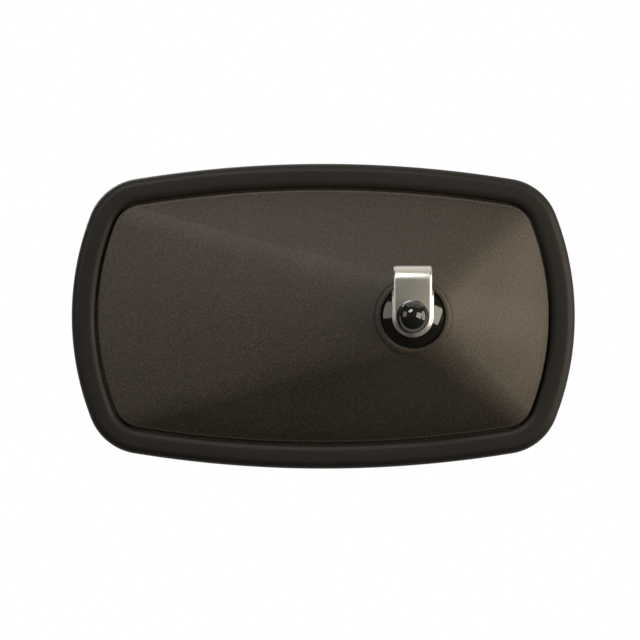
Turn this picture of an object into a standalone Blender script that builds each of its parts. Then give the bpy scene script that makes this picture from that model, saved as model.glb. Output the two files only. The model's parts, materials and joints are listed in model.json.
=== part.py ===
"""Convex security mirror on a ball joint, with a folded strap clamp for a rod.

Metres, +Z up. The origin is the centre of the clamp's loop, where the rod runs along X. The
mirror's face looks along +Y and its housing and ball joint along -Y. Pieces are modelled in
the joint's own frame (u, v, h): u is X, v is Z and h is the height outwards, along -Y, from
the centre of the ball. The ball's centre is the crossing point of all three joint axes.
"""

import math

import bmesh
import bpy
from mathutils import Matrix, Vector

MM = 0.001
GAP = 0.3 * MM                 # clearance between pieces that touch
TURN_STEPS = 40                # sides of a turned piece
SMALL_TURN_STEPS = 24          # sides of washers, bores and other small round pieces
ARC_STEPS = 8                  # steps along each arc of the outline
CUT = 2 * MM                   # how far cutters reach past what they cut
EASE = 0.3                     # share of a rounded edge kept by its one middle step
BEVEL = 0.6 * MM               # on turned edges

# Outline of the mirror: four long arcs joined by corner arcs
LENGTH = 330 * MM
HEIGHT = 200 * MM
TOP_ARC_R = 769 * MM
SIDE_ARC_R = 184 * MM
CORNER_R = 36.7 * MM
BALL_OFFSET = 59.2 * MM        # from the mirror's centre to the ball, along +X

# Rim
RIM_WIDTH = 15.7 * MM          # seen from the back
RIM_DEPTH = 18 * MM
RIM_ROUND = 5.5 * MM           # rounding of its outer edges
RIM_LIP = 3.5 * MM             # thickness of the lip in front of the pane
RIM_BACK_WALL = 6 * MM
RIM_SHOULDER = ((0, 3.2), (0.8, 1.5), (2.4, 0.4), (5, 0))  # mm from the inner edge, mm deep
RIM_LIP_BEVEL = 0.8 * MM
CHANNEL_FLOOR = 3.2 * MM       # wall outside the channel
LIP_REACH = 12.5 * MM          # how far the front lip covers the pane
MARGIN = 1 * MM                # flat part of the pane inside the lip

# Housing
GROOVE = 1.3 * MM              # between the rim and the panel
FLANGE = 2.2 * MM              # thickness of the flange held by the rim
WALL = 2.5 * MM
SLOPED_WALL = 1.25 * WALL      # wall of the sloping panel, measured along the h axis
PANEL_STEPS = 4                # rings from the panel's edge to the socket's boss
PANEL_DROP = 0.8 * MM          # panel edge below the rim's back plane
PANEL_ROUND = 1.5 * MM
HOUSING_HEIGHT = 50 * MM       # rim's back plane to the top of the socket

# Pane
PANE_THICKNESS = 3 * MM
PANE_BULGE = 15 * MM
BULGE_POWER = 0.65             # 1 bulges softly; lower is flatter, with steeper sides
PANE_STEPS = 6                 # rings of faces from the pane's margin to its middle
GASKET_WIDTH = 9.5 * MM
GASKET_INSET = 1 * MM          # from the edge of the pane
GASKET_TAPER = 0.3 * MM        # slope of the face under the pane

# Socket and ball
DOME_R = 35 * MM
DOME_WALL = 3.5 * MM
SOCKET_GAP = 0.4 * MM          # between sliding spherical faces
SOCKET_R = 25.6 * MM           # outside of the socket's boss
SOCKET_STEP = 3.3 * MM         # boss above the panel
SOCKET_ROUND = 1.3 * MM
LIP_R = 21.4 * MM              # opening of the socket
LIP_EDGE = 1.6 * MM            # thickness of the lip at the opening
POCKET_REACH = 1.5 * MM        # spherical pocket past the outside of the boss
NECK_R = 8 * MM
NECK_LENGTH = 10 * MM
NECK_FOOT = 2 * MM             # how far the neck flares onto the dome
SEAT_MARGIN = 0.7 * MM         # flat seat inside the dome past the bolt's head
TILT_LIMIT = math.radians(15)  # each way, about each of the two tilting axes
RING_THICKNESS = 1.3 * MM
CUP_WALL = 3 * MM
CUP_OPENING = math.radians(40.5)
CUP_EDGE = math.radians(56)
CUP_HOLLOW = (8.5 * MM, 7 * MM)  # inner edge of the cup: in from its skirt, up from its base
RING_LAP = (math.radians(0.5), math.radians(1))  # ring past the cup, inside and outside

# Fasteners of the joint
BOLT_R = 3.9 * MM
BOLT_HEAD_R = 8.3 * MM
BOLT_HEAD_HEIGHT = 4.4 * MM
SQUARE_NECK = 7.8 * MM
SQUARE_NECK_HEIGHT = 3.5 * MM
HEAD_CROWN = ((0.86, 0.55), (0.5, 0.9))  # shares of the head's radius and height
BOLT_PAST_NUT = 1.8 * MM
HOLE_R = 4.5 * MM
WASHER = 1.6 * MM
WASHER_BEVEL = 0.2             # share of a washer's thickness
NECK_WASHER_R = 11 * MM
SPACER_R = 8 * MM
FLAT_WASHER_R = 8.4 * MM
LOCK_WASHER = 2 * MM
LOCK_WASHER_R = 6.8 * MM
LOCK_WASHER_SPLIT = 1.2 * MM
NUT_HEIGHT = 6.5 * MM
NUT_FLATS = 13 * MM
CAP_R = 10.75 * MM
CAP_WALL = 1.5 * MM
CAP_SKIRT = 6.5 * MM
CAP_BEVEL = 0.4 * MM

# Strap clamp
STRAP_WIDTH = 25.2 * MM
STRAP = 3 * MM
ROD_R = 6 * MM
ROD_GAP = 0.4 * MM
LOOP_RISE = 23.6 * MM          # loop's centre above the bolt
LEG_SPACER = 1.5 * MM
PAD_R = 13.7 * MM              # round end of the leg against the ball
RETURN_BEND_R = 3 * MM         # inside radius of the bend behind the loop

# Spring pack behind the ball
SPRING_COUNT = 3
SPRING = 1.2 * MM
SPRING_DISH = 1.2 * MM
SPRING_R = 20 * MM
SPRING_BORE_R = 10.3 * MM
SPIGOT_R = 9.8 * MM
SPIGOT_BORE_R = 7.8 * MM
SPIGOT_PAST_PLATE = 1 * MM
PLATE = 2 * MM
PLATE_EDGE = 1.2 * MM          # plate past the outside of the posts
POST_SPACING = 57.2 * MM       # between the posts, both ways
POST_R = 4.2 * MM
SCREW_R = 1.6 * MM
SCREW_LENGTH = 9 * MM
SCREW_HEAD_R = 3.6 * MM
SCREW_HEAD = 2.4 * MM

# Heights in the joint's frame, from the clamp inwards
NECK_TOP = DOME_R + NECK_LENGTH
BACK_LEG = NECK_TOP + GAP + WASHER + GAP
FRONT_LEG = BACK_LEG + STRAP + GAP + LEG_SPACER + GAP
FRONT_FACE = FRONT_LEG + STRAP
NUT_BASE = FRONT_FACE + GAP + WASHER + GAP + LOCK_WASHER + GAP
BOLT_END = NUT_BASE + NUT_HEIGHT + BOLT_PAST_NUT
LOOP_INNER_R = ROD_R + ROD_GAP
LOOP_OUTER_R = LOOP_INNER_R + STRAP
LOOP_HEIGHT = FRONT_FACE - LOOP_OUTER_R
POCKET_R = DOME_R + SOCKET_GAP
SOCKET_TOP = math.sqrt(POCKET_R ** 2 - LIP_R ** 2) + LIP_EDGE
RIM_BACK = SOCKET_TOP - HOUSING_HEIGHT
DOME_INNER_R = DOME_R - DOME_WALL
RING_R = DOME_INNER_R - SOCKET_GAP
CUP_R = RING_R - RING_THICKNESS - SOCKET_GAP
FULL_TILT = math.acos(math.cos(TILT_LIMIT) ** 2)
DOME_EDGE = math.asin(LIP_R / POCKET_R) + FULL_TILT + math.radians(1)
CUP_BASE = 12 * MM
PLATE_TOP = CUP_BASE - SPRING_COUNT * (SPRING + SPRING_DISH) - (SPRING_COUNT + 1) * GAP

BALL_CENTRE = Vector((0, LOOP_HEIGHT, -LOOP_RISE))
TO_WORLD = Matrix.Translation(BALL_CENTRE) @ Matrix.Rotation(math.radians(90), 4, "X")

BLACK_GRAIN = ("textured_black_plastic", (0.052, 0.044, 0.035), 0.62, 0.0)
BLACK_RIM = ("satin_black_rim", (0.022, 0.019, 0.014), 0.5, 0.0)
BLACK_GLOSS = ("gloss_black_plastic", (0.012, 0.011, 0.009), 0.12, 0.0)
STEEL = ("brushed_steel", (0.62, 0.6, 0.56), 0.3, 1.0)
ZINC = ("zinc_steel", (0.5, 0.51, 0.52), 0.35, 1.0)
NYLON = ("nylon", (0.6, 0.58, 0.5), 0.45, 0.0)
FOAM = ("foam_rubber", (0.02, 0.02, 0.02), 0.9, 0.0)
MIRROR = ("mirror_acrylic", (0.9, 0.91, 0.92), 0.02, 1.0)

parts = None
cutters = None


def start():
    global parts, cutters
    for old in list(bpy.data.objects):
        bpy.data.objects.remove(old, do_unlink=True)
    parts = bpy.data.collections.new("convex_security_mirror")
    cutters = bpy.data.collections.new("cutters")
    for collection in (parts, cutters):
        bpy.context.scene.collection.children.link(collection)


def material(finish):
    name, colour, roughness, metallic = finish
    found = bpy.data.materials.get(name)
    if found:
        return found
    made = bpy.data.materials.new(name)
    made.use_nodes = True
    shader = made.node_tree.nodes["Principled BSDF"]
    shader.inputs["Base Color"].default_value = (*colour, 1)
    shader.inputs["Roughness"].default_value = roughness
    shader.inputs["Metallic"].default_value = metallic
    made.diffuse_color = (*colour, 1)
    return made


def place(name, bm, finish=None):
    """An object in the joint's frame, as a part with its finish or as a hidden cutter."""
    mesh = bpy.data.meshes.new(name)
    bmesh.ops.recalc_face_normals(bm, faces=bm.faces)
    bm.to_mesh(mesh)
    bm.free()
    made = bpy.data.objects.new(name, mesh)
    made.matrix_world = TO_WORLD
    if finish:
        mesh.materials.append(material(finish))
        mesh.shade_smooth()
        mesh.set_sharp_from_angle(angle=math.radians(35))
        parts.objects.link(made)
    else:
        made.hide_render = True
        made.display_type = "WIRE"
        cutters.objects.link(made)
    return made


def combine(target, other, operation):
    boolean = target.modifiers.new(operation.lower(), "BOOLEAN")
    boolean.object = other
    boolean.operation = operation


def turned(name, profile, finish=None, closed=True, steps=TURN_STEPS, centre=(0, 0)):
    """A profile of (radius, height) points, down its outer side, turned about the h axis."""
    mesh = bpy.data.meshes.new(name)
    edges = [(i, i + 1) for i in range(len(profile) - 1)]
    if closed:
        edges.append((len(profile) - 1, 0))
    mesh.from_pydata([(r, 0, h) for r, h in profile], edges, [])
    made = bpy.data.objects.new(name, mesh)
    made.matrix_world = TO_WORLD @ Matrix.Translation((*centre, 0))
    screw = made.modifiers.new("turn", "SCREW")
    screw.steps = screw.render_steps = steps
    screw.use_merge_vertices = True
    screw.merge_threshold = 0.00001
    screw.use_smooth_shade = True
    if finish:
        mesh.materials.append(material(finish))
        parts.objects.link(made)
    else:
        made.hide_render = True
        made.display_type = "WIRE"
        cutters.objects.link(made)
    return made


def box(name, size, centre):
    bm = bmesh.new()
    bmesh.ops.create_cube(bm, size=1)
    bmesh.ops.scale(bm, vec=size, verts=bm.verts)
    bmesh.ops.translate(bm, vec=centre, verts=bm.verts)
    return place(name, bm)


def cylinder(name, radius, low, high, centre=(0, 0)):
    bm = bmesh.new()
    bmesh.ops.create_cone(bm, cap_ends=True, segments=SMALL_TURN_STEPS, radius1=radius,
                          radius2=radius, depth=high - low)
    bmesh.ops.translate(bm, vec=(*centre, (low + high) / 2), verts=bm.verts)
    return place(name, bm)


def on_sphere(radius, start_angle, end_angle, steps):
    """Points (r, h) on a circle about the ball's centre; angles are from the h axis."""
    points = []
    for i in range(steps + 1):
        angle = start_angle + (end_angle - start_angle) * i / steps
        points.append((radius * math.sin(angle), radius * math.cos(angle)))
    return points


def corner_centre():
    """Centre of the upper right corner arc, tangent inside the top arc and the side arc."""
    top = Vector((0, HEIGHT / 2 - TOP_ARC_R))
    side = Vector((LENGTH / 2 - SIDE_ARC_R, 0))
    top_reach = TOP_ARC_R - CORNER_R
    side_reach = SIDE_ARC_R - CORNER_R
    apart = (side - top).length
    along = (top_reach ** 2 - side_reach ** 2 + apart ** 2) / (2 * apart)
    across = math.sqrt(top_reach ** 2 - along ** 2)
    direction = (side - top) / apart
    normal = Vector((direction.y, -direction.x))
    if normal.x + normal.y < 0:
        normal = -normal
    return top + direction * along + normal * across


def outline_frames():
    """(centre, radius, angle) of the outline's points, once round from the right-hand side.

    An inset outline has the same centres and angles with smaller radii."""
    corner = corner_centre()
    top = Vector((0, HEIGHT / 2 - TOP_ARC_R))
    side = Vector((LENGTH / 2 - SIDE_ARC_R, 0))
    low = math.atan2(corner.y - side.y, corner.x - side.x)
    high = math.atan2(corner.y - top.y, corner.x - top.x)
    half_steps = ARC_STEPS // 2
    quarter = [(side, SIDE_ARC_R, low * i / half_steps) for i in range(half_steps)]
    for i in range(ARC_STEPS):
        quarter.append((corner, CORNER_R, low + (high - low) * i / ARC_STEPS))
    half = math.pi / 2
    for i in range(half_steps):
        quarter.append((top, TOP_ARC_R, high + (half - high) * i / half_steps))
    quarter.append((top, TOP_ARC_R, half))
    right = quarter + [(Vector((-c.x, c.y)), r, math.pi - a) for c, r, a in quarter[-2::-1]]
    return right + [(Vector((c.x, -c.y)), r, 2 * math.pi - a) for c, r, a in right[-2:0:-1]]


def ring(frames, height, inset=0.0, blend=0.0, radius=SOCKET_R):
    """Points round the outline, set in by inset and blended towards a circle on the ball's axis.

    Points with the same facing go together, so the surface between two rings is ruled, its
    sides are almost flat and its ridges run straight from the corners to the circle."""
    points = []
    for centre, arc, angle in frames:
        facing = Vector((math.cos(angle), math.sin(angle)))
        edge = centre + facing * (arc - inset) - Vector((BALL_OFFSET, 0))
        circle = facing * radius
        flat = edge * (1 - blend) + circle * blend
        points.append((flat.x, flat.y, height))
    return points


def loft(name, rings, finish=None, closed=False):
    """Rings of equal count joined by quads; closed joins the last ring to the first."""
    bm = bmesh.new()
    rows = [[bm.verts.new(p) for p in points] for points in rings]
    pairs = list(zip(rows, rows[1:]))
    if closed:
        pairs.append((rows[-1], rows[0]))
    for a, b in pairs:
        for i in range(len(a)):
            j = (i + 1) % len(a)
            bm.faces.new((a[i], a[j], b[j], b[i]))
    if not closed:
        bm.faces.new(rows[0])
        bm.faces.new(rows[-1])
    return place(name, bm, finish)


def arc_points(centre, radius, start_angle, end_angle, steps):
    points = []
    for i in range(steps + 1):
        angle = start_angle + (end_angle - start_angle) * i / steps
        points.append((centre[0] + radius * math.cos(angle), centre[1] + radius * math.sin(angle)))
    return points


# Depths below the rim's back plane, towards the mirror's face
FLANGE_BACK = RIM_BACK_WALL + GAP
FLANGE_FRONT = FLANGE_BACK + FLANGE
PANE_FRONT = RIM_DEPTH - RIM_LIP - GAP
PANE_BACK = PANE_FRONT - PANE_THICKNESS
PANEL_INSET = RIM_WIDTH + GROOVE
HELD_INSET = CHANNEL_FLOOR + GAP


def make_rim(frames):
    """One moulded profile round the mirror: rounded outside, with a channel for the edges."""
    half = math.pi / 2
    r = RIM_ROUND
    section = arc_points((r, RIM_DEPTH - r), r, math.pi, half, 4)
    section += [(LIP_REACH, RIM_DEPTH - RIM_LIP_BEVEL), (LIP_REACH, RIM_DEPTH - RIM_LIP)]
    section += [(CHANNEL_FLOOR, RIM_DEPTH - RIM_LIP), (CHANNEL_FLOOR, RIM_BACK_WALL)]
    section.append((RIM_WIDTH, RIM_BACK_WALL))
    section += [(RIM_WIDTH - back * MM, depth * MM) for back, depth in RIM_SHOULDER]
    section += arc_points((r, r), r, -half, -math.pi, 4)
    rings = [ring(frames, RIM_BACK - depth, inset) for inset, depth in section]
    return loft("rim_frame", rings, BLACK_RIM, closed=True)


def panel_surface(frames, height_drop, inset, top_radius, top_height):
    """Rings from the panel's edge to the circle where the socket's boss starts."""
    edge = RIM_BACK - PANEL_DROP - height_drop
    rings = []
    for i in range(PANEL_STEPS + 1):
        blend = i / PANEL_STEPS
        rings.append(ring(frames, edge + (top_height - edge) * blend, inset, blend, top_radius))
    return rings


def post_places():
    half = POST_SPACING / 2
    return [(u, v) for u in (-half, half) for v in (-half, half)]


def make_housing(frames):
    boss_foot = SOCKET_TOP - SOCKET_STEP
    edge = RIM_BACK - PANEL_DROP
    outer = [ring(frames, RIM_BACK - FLANGE_FRONT, HELD_INSET),
             ring(frames, RIM_BACK - FLANGE_BACK, HELD_INSET),
             ring(frames, RIM_BACK - FLANGE_BACK, PANEL_INSET),
             ring(frames, edge - PANEL_ROUND, PANEL_INSET),
             ring(frames, edge - EASE * PANEL_ROUND, PANEL_INSET + EASE * PANEL_ROUND)]
    outer += panel_surface(frames, 0, PANEL_INSET + PANEL_ROUND, SOCKET_R, boss_foot)
    outer.append(ring(frames, SOCKET_TOP - SOCKET_ROUND, blend=1))
    outer.append(ring(frames, SOCKET_TOP - EASE * SOCKET_ROUND, blend=1,
                      radius=SOCKET_R - EASE * SOCKET_ROUND))
    outer.append(ring(frames, SOCKET_TOP, blend=1, radius=SOCKET_R - SOCKET_ROUND))
    housing = loft("rear_housing", outer, BLACK_GRAIN)

    inside = [ring(frames, RIM_BACK - FLANGE_FRONT - CUT, PANEL_INSET + WALL),
              ring(frames, edge - PANEL_ROUND - WALL, PANEL_INSET + WALL)]
    pocket_end = math.asin((SOCKET_R + POCKET_REACH) / POCKET_R)
    pocket = on_sphere(POCKET_R, pocket_end, math.asin(LIP_R / POCKET_R), 3)
    inset = PANEL_INSET + PANEL_ROUND + WALL
    inside += panel_surface(frames, SLOPED_WALL, inset, *pocket[0])[1:]
    for r, h in pocket[1:]:
        inside.append(ring(frames, h, blend=1, radius=r))
    inside.append(ring(frames, SOCKET_TOP + CUT, blend=1, radius=LIP_R))
    cavity = loft("housing_cavity", inside)
    for i, place_uv in enumerate(post_places()):
        post = cylinder(f"post_{i + 1}", POST_R, PLATE_TOP + GAP, SOCKET_TOP, place_uv)
        combine(cavity, post, "DIFFERENCE")
    combine(housing, cavity, "DIFFERENCE")
    for i, place_uv in enumerate(post_places()):
        hole = cylinder(f"post_hole_{i + 1}", SCREW_R + GAP, PLATE_TOP - CUT,
                        PLATE_TOP + SCREW_LENGTH + GAP, place_uv)
        combine(housing, hole, "DIFFERENCE")
    return housing


def pane_rise(u, v):
    """Bulge at a point from the pane's middle: zero along the four arcs, smooth between them."""
    inset = LIP_REACH + MARGIN
    half_length, half_height = LENGTH / 2 - inset, HEIGHT / 2 - inset
    share = 1.0
    for sign in (1, -1):
        top = math.hypot(u, v + sign * (TOP_ARC_R - HEIGHT / 2))
        side = math.hypot(u + sign * (SIDE_ARC_R - LENGTH / 2), v)
        share *= max(0, TOP_ARC_R - inset - top) / half_height
        share *= max(0, SIDE_ARC_R - inset - side) / half_length
    return PANE_BULGE * share ** BULGE_POWER


def pane_rows(bm, frames, depth):
    """Vertices of one face of the pane: its outer edge, its flat margin, then the bulge."""
    height = RIM_BACK - depth
    margin = ring(frames, height, LIP_REACH + MARGIN)
    rows = [[bm.verts.new(p) for p in ring(frames, height, HELD_INSET)]]
    for i in range(PANE_STEPS, 0, -1):
        scale = i / PANE_STEPS
        row = []
        for x, y, _ in margin:
            u, v = (x + BALL_OFFSET) * scale, y * scale
            row.append(bm.verts.new((u - BALL_OFFSET, v, height - pane_rise(u, v))))
        rows.append(row)
    return rows, bm.verts.new((-BALL_OFFSET, 0, height - PANE_BULGE))


def make_pane(frames):
    """A blown pane: its margin lies flat in the rim and the rest bulges forward."""
    bm = bmesh.new()
    back, back_middle = pane_rows(bm, frames, PANE_BACK)
    front, front_middle = pane_rows(bm, frames, PANE_FRONT)
    count = len(frames)
    for a, b in [*zip(back, back[1:]), *zip(front, front[1:]), (front[0], back[0])]:
        for i in range(count):
            j = (i + 1) % count
            bm.faces.new((a[i], a[j], b[j], b[i]))
    for row, middle in ((back[-1], back_middle), (front[-1], front_middle)):
        for i in range(count):
            bm.faces.new((row[i], row[(i + 1) % count], middle))
    return place("mirror_pane", bm, MIRROR)


def make_gasket(frames):
    outer = HELD_INSET + GASKET_INSET
    inner = outer + GASKET_WIDTH
    section = [(outer, PANE_BACK - GAP), (inner, PANE_BACK - GAP - GASKET_TAPER),
               (inner, FLANGE_FRONT + GAP), (outer, FLANGE_FRONT + GAP)]
    rings = [ring(frames, RIM_BACK - depth, inset) for inset, depth in section]
    return loft("pane_gasket", rings, FOAM, closed=True)


def make_dome():
    """The visible ball: a hollow dome on a short neck, gripped behind the socket's lip."""
    foot = NECK_R + NECK_FOOT
    crown = on_sphere(DOME_R, math.asin(foot / DOME_R), DOME_EDGE, 8)
    flat = BOLT_HEAD_R + SEAT_MARGIN
    inside = on_sphere(DOME_INNER_R, DOME_EDGE, math.asin(flat / DOME_INNER_R), 6)
    profile = [(HOLE_R, NECK_TOP), (NECK_R - BEVEL, NECK_TOP), (NECK_R, NECK_TOP - BEVEL)]
    profile += [(NECK_R, DOME_R + 2 * BEVEL), (NECK_R + EASE * NECK_FOOT, DOME_R - BEVEL)]
    profile += crown + inside + [(HOLE_R, inside[-1][1])]
    dome = turned("swivel_dome", profile, BLACK_GLOSS)
    seat = inside[-1][1]
    side = SQUARE_NECK + 2 * GAP
    hole = box("square_hole", (side, side, 2 * SQUARE_NECK_HEIGHT), (0, 0, seat))
    combine(dome, hole, "DIFFERENCE")
    return seat


def make_bolt(seat):
    top = seat - GAP
    r = BOLT_HEAD_R
    head = [(r, top), (r, top - BEVEL)]
    head += [(x * r, top - y * BOLT_HEAD_HEIGHT) for x, y in HEAD_CROWN]
    profile = [(0, BOLT_END), (BOLT_R - BEVEL, BOLT_END), (BOLT_R, BOLT_END - BEVEL)]
    profile += [(BOLT_R, top)] + head + [(0, top - BOLT_HEAD_HEIGHT)]
    bolt = turned("coach_bolt", profile, ZINC, closed=False)
    middle = top + SQUARE_NECK_HEIGHT / 2 - BEVEL / 2
    square = box("square_neck", (SQUARE_NECK, SQUARE_NECK, SQUARE_NECK_HEIGHT + BEVEL),
                 (0, 0, middle))
    combine(bolt, square, "UNION")


def washer(name, bore, outer, low, thickness):
    bevel = WASHER_BEVEL * thickness
    high = low + thickness
    profile = [(bore, high), (outer - bevel, high), (outer, high - bevel), (outer, low)]
    profile.append((bore, low))
    return turned(name, profile, ZINC, steps=SMALL_TURN_STEPS)


def make_stack():
    """What the bolt holds together, from the ball's neck outwards."""
    washer("neck_washer", HOLE_R, NECK_WASHER_R, NECK_TOP + GAP, WASHER)
    washer("leg_spacer", HOLE_R, SPACER_R, BACK_LEG + STRAP + GAP, LEG_SPACER)
    washer("flat_washer", HOLE_R, FLAT_WASHER_R, FRONT_FACE + GAP, WASHER)
    low = FRONT_FACE + 2 * GAP + WASHER
    lock = washer("lock_washer", BOLT_R + GAP, LOCK_WASHER_R, low, LOCK_WASHER)
    slot = box("washer_split", (LOCK_WASHER_R, LOCK_WASHER_SPLIT, 3 * LOCK_WASHER),
               (LOCK_WASHER_R, 0, low))
    combine(lock, slot, "DIFFERENCE")
    make_nut()


def make_nut():
    bm = bmesh.new()
    corner = NUT_FLATS / 2 / math.cos(math.pi / 6)
    bmesh.ops.create_cone(bm, cap_ends=True, segments=6, radius1=corner, radius2=corner,
                          depth=NUT_HEIGHT)
    bmesh.ops.translate(bm, vec=(0, 0, NUT_BASE + NUT_HEIGHT / 2), verts=bm.verts)
    nut = place("clamp_nut", bm, ZINC)
    bore = cylinder("nut_bore", BOLT_R + GAP, NUT_BASE - CUT, NUT_BASE + NUT_HEIGHT + CUT)
    combine(nut, bore, "DIFFERENCE")


def make_cap():
    low = FRONT_FACE + GAP
    centre = low + CAP_SKIRT
    inner = CAP_R - CAP_WALL
    outside = [(r, centre + h) for r, h in on_sphere(CAP_R, 0, math.pi / 2, 8)]
    inside = [(r, centre + h) for r, h in on_sphere(inner, math.pi / 2, 0, 5)]
    profile = outside + [(CAP_R, low + CAP_BEVEL), (CAP_R - CAP_BEVEL, low), (inner, low)] + inside
    profile[0] = (0, profile[0][1])
    profile[-1] = (0, profile[-1][1])
    turned("nut_cap", profile, BLACK_GLOSS, closed=False)


def strap_stations():
    """(v, h, facing, half width) along the strap's middle, from the front leg's round end.

    The front leg rises to the loop, the loop goes round the rod and a return bend brings the
    other leg back beside the first, ending in a pad on the ball's neck."""
    middle = LOOP_INNER_R + STRAP / 2
    front = FRONT_LEG + STRAP / 2
    back = BACK_LEG + STRAP / 2
    half = STRAP_WIDTH / 2
    stations = []
    for i in range(1, 9):
        angle = math.radians(-90 + i * 11.25)
        stations.append((half * math.sin(angle), front, 0, half * math.cos(angle)))
    turn_r = RETURN_BEND_R + STRAP / 2
    drop = back - turn_r - LOOP_HEIGHT
    reach = middle + turn_r
    turn_v = LOOP_RISE - math.sqrt(reach ** 2 - drop ** 2)
    leave = 2 * math.pi + math.atan2(turn_v - LOOP_RISE, drop)
    steps = 20
    for i in range(steps + 1):
        angle = leave * i / steps
        v = LOOP_RISE + middle * math.sin(angle)
        h = LOOP_HEIGHT + middle * math.cos(angle)
        share = max(0.0, min(1.0, (i - steps + 4) / 4))
        stations.append((v, h, angle, half + (PAD_R - half) * share))
    steps = 5
    for i in range(1, steps + 1):
        angle = leave - (leave - math.pi) * i / steps
        v = turn_v - turn_r * math.sin(angle)
        h = back - turn_r - turn_r * math.cos(angle)
        stations.append((v, h, angle, PAD_R))
    for i in range(9):
        angle = math.radians(i * 11.25 if i < 8 else 86)
        stations.append((-PAD_R * math.sin(angle), back, math.pi, PAD_R * math.cos(angle)))
    return stations


def make_strap():
    """A flat bar bent along its stations; facing turns its outer face round with the bend."""
    bm = bmesh.new()
    rows = []
    for v, h, facing, half in strap_stations():
        dv = math.sin(facing) * STRAP / 2
        dh = math.cos(facing) * STRAP / 2
        corners = ((-half, v + dv, h + dh), (half, v + dv, h + dh),
                   (half, v - dv, h - dh), (-half, v - dv, h - dh))
        rows.append([bm.verts.new(p) for p in corners])
    for a, b in zip(rows, rows[1:]):
        for i in range(4):
            j = (i + 1) % 4
            bm.faces.new((a[i], a[j], b[j], b[i]))
    bm.faces.new(rows[0])
    bm.faces.new(rows[-1])
    strap = place("clamp_strap", bm, STEEL)
    hole = cylinder("strap_hole", HOLE_R, BACK_LEG - CUT, FRONT_FACE + CUT)
    combine(strap, hole, "DIFFERENCE")


def make_friction_ring():
    low, high = CUP_OPENING + RING_LAP[0], CUP_EDGE + RING_LAP[1]
    outside = on_sphere(RING_R, low, high, 4)
    inside = on_sphere(RING_R - RING_THICKNESS, high, low, 4)
    turned("friction_ring", outside + inside, NYLON)


def make_cup():
    """Pushed outwards by the springs; its spigot keeps the springs in line."""
    face = on_sphere(CUP_R, CUP_OPENING, CUP_EDGE, 4)
    skirt_r = face[-1][0]
    spigot_end = PLATE_TOP - PLATE - SPIGOT_PAST_PLATE
    profile = face + [(skirt_r, CUP_BASE), (SPIGOT_R, CUP_BASE)]
    profile += [(SPIGOT_R, spigot_end), (SPIGOT_BORE_R, spigot_end)]
    profile += [(SPIGOT_BORE_R, CUP_BASE + CUP_WALL)]
    profile += [(skirt_r - CUP_HOLLOW[0], CUP_BASE + CUP_HOLLOW[1])]
    turned("pressure_cup", profile, NYLON)


def make_springs():
    """Disc springs stacked in turn, one hollow side up and the next one down."""
    pitch = SPRING + SPRING_DISH + GAP
    for i in range(SPRING_COUNT):
        low = PLATE_TOP + GAP + i * pitch
        inner_low, outer_low = (low + SPRING_DISH, low) if i % 2 == 0 else (low, low + SPRING_DISH)
        profile = [(SPRING_BORE_R, inner_low + SPRING), (SPRING_R, outer_low + SPRING)]
        profile += [(SPRING_R, outer_low), (SPRING_BORE_R, inner_low)]
        turned(f"disc_spring_{i + 1}", profile, ZINC)


def make_plate():
    """A square plate with rounded corners, which holds the spring pack in from the posts."""
    reach = POST_SPACING / 2
    r = POST_R + PLATE_EDGE
    corners = []
    for i, (u, v) in enumerate(((reach, reach), (-reach, reach), (-reach, -reach), (reach, -reach))):
        corners += arc_points((u, v), r, i * math.pi / 2, (i + 1) * math.pi / 2, 4)
    rings = [[(u, v, h) for u, v in corners] for h in (PLATE_TOP - PLATE, PLATE_TOP)]
    plate = loft("retainer_plate", rings, ZINC)
    low, high = PLATE_TOP - PLATE - CUT, PLATE_TOP + CUT
    bore = cylinder("plate_bore", SPIGOT_R + SOCKET_GAP, low, high)
    combine(plate, bore, "DIFFERENCE")
    for i, place_uv in enumerate(post_places()):
        hole = cylinder(f"plate_hole_{i + 1}", SCREW_R + GAP, low, high, place_uv)
        combine(plate, hole, "DIFFERENCE")


def make_screws():
    under = PLATE_TOP - PLATE - GAP
    profile = [(0, PLATE_TOP + SCREW_LENGTH), (SCREW_R, PLATE_TOP + SCREW_LENGTH - SCREW_R)]
    profile += [(SCREW_R, under), (SCREW_HEAD_R, under), (SCREW_HEAD_R, under - 0.5 * SCREW_HEAD)]
    profile += [(0.6 * SCREW_HEAD_R, under - SCREW_HEAD), (0, under - SCREW_HEAD)]
    for i, place_uv in enumerate(post_places()):
        turned(f"retainer_screw_{i + 1}", profile, ZINC, closed=False, steps=SMALL_TURN_STEPS,
               centre=place_uv)


def main():
    start()
    frames = outline_frames()
    make_rim(frames)
    make_housing(frames)
    make_pane(frames)
    make_gasket(frames)
    make_bolt(make_dome())
    make_stack()
    make_cap()
    make_strap()
    make_friction_ring()
    make_cup()
    make_springs()
    make_plate()
    make_screws()


main()
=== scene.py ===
"""Convex security mirror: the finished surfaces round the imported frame.

Pieces are modelled in the joint's own frame (u, v, h): u is X, v is Z and h is the height
outwards, along -Y, from the centre of the ball. The mirror's face looks along +Y.
"""
import json
import math

import bmesh
import bpy
from bpy.props import FloatProperty, FloatVectorProperty, PointerProperty
from mathutils import Matrix, Vector


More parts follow.
